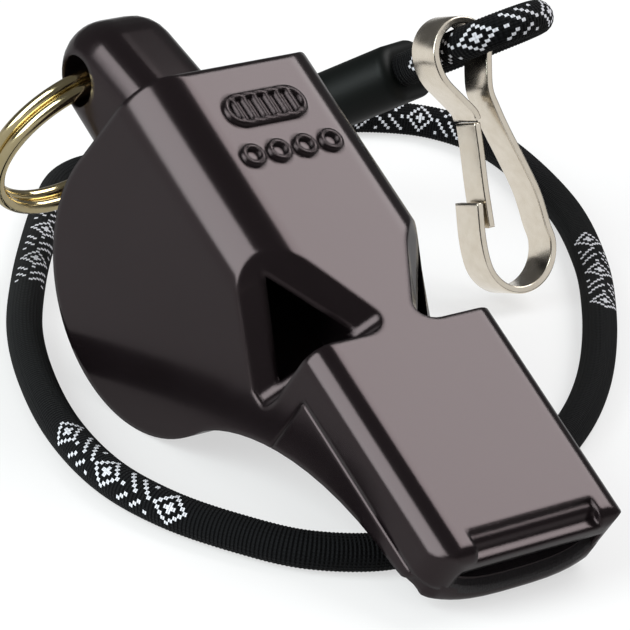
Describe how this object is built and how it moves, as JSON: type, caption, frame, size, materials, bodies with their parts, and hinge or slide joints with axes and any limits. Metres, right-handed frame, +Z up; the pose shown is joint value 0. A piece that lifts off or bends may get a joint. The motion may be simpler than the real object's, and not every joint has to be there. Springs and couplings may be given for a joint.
{
  "type": "pealess sports whistle with lanyard",
  "caption": "Pealess plastic sports whistle with a split ring, and a woven neck cord whose crimp sleeve and strap hook lean behind it.",
  "frame": {"origin": "middle of the whistle and its split ring in plan, on the surface that the belly and the lower lip rest on", "axes": "+X from the split ring to the mouthpiece, +Y to the side where the lanyard's sleeve and hook lie, +Z up"},
  "size_m": [0.075, 0.0724, 0.0262],
  "materials": {
    "whistle_shell": "moulded ABS, mirror gloss",
    "whistle_floor": "moulded ABS, gloss outside and fine grain at the lip",
    "ring_brass": "polished brass-plated spring wire",
    "cord_weave": "woven polyester, fine ribs, white woven motifs",
    "sleeve_plastic": "satin moulded plastic",
    "hook_nickel": "nickel-plated spring steel strip"
  },
  "bodies": {
    "whistle": {"body_shell": "whistle_shell", "mouthpiece_floor": "whistle_floor", "neck_cord": "cord_weave", "hook_loop": "cord_weave", "crimp_sleeve": "sleeve_plastic"},
    "ring": {"split_ring": "ring_brass"},
    "hook": {"strap_hook": "hook_nickel"},
    "gate": {"hook_gate": "hook_nickel"}
  },
  "joints": [
    {"name": "ring_swing", "type": "hinge", "parent": "whistle", "child": "ring", "pos_m": [-0.0217, 0, 0.02038], "axis": [0, 1, 0], "range_deg": [-40, 150]},
    {"name": "hook_swing", "type": "hinge", "parent": "whistle", "child": "hook", "pos_m": [-0.01712, 0.03037, 0.01956], "axis": [-0.9155, 0.0962, -0.3907], "range_deg": [0, 60]},
    {"name": "gate_spring", "type": "hinge", "parent": "hook", "child": "gate", "pos_m": [-0.01475, 0.03104, 0.01419], "axis": [0.9155, -0.0962, 0.3907], "range_deg": [0, 24], "stiffness_Nm_per_rad": 0.002}
  ]
}
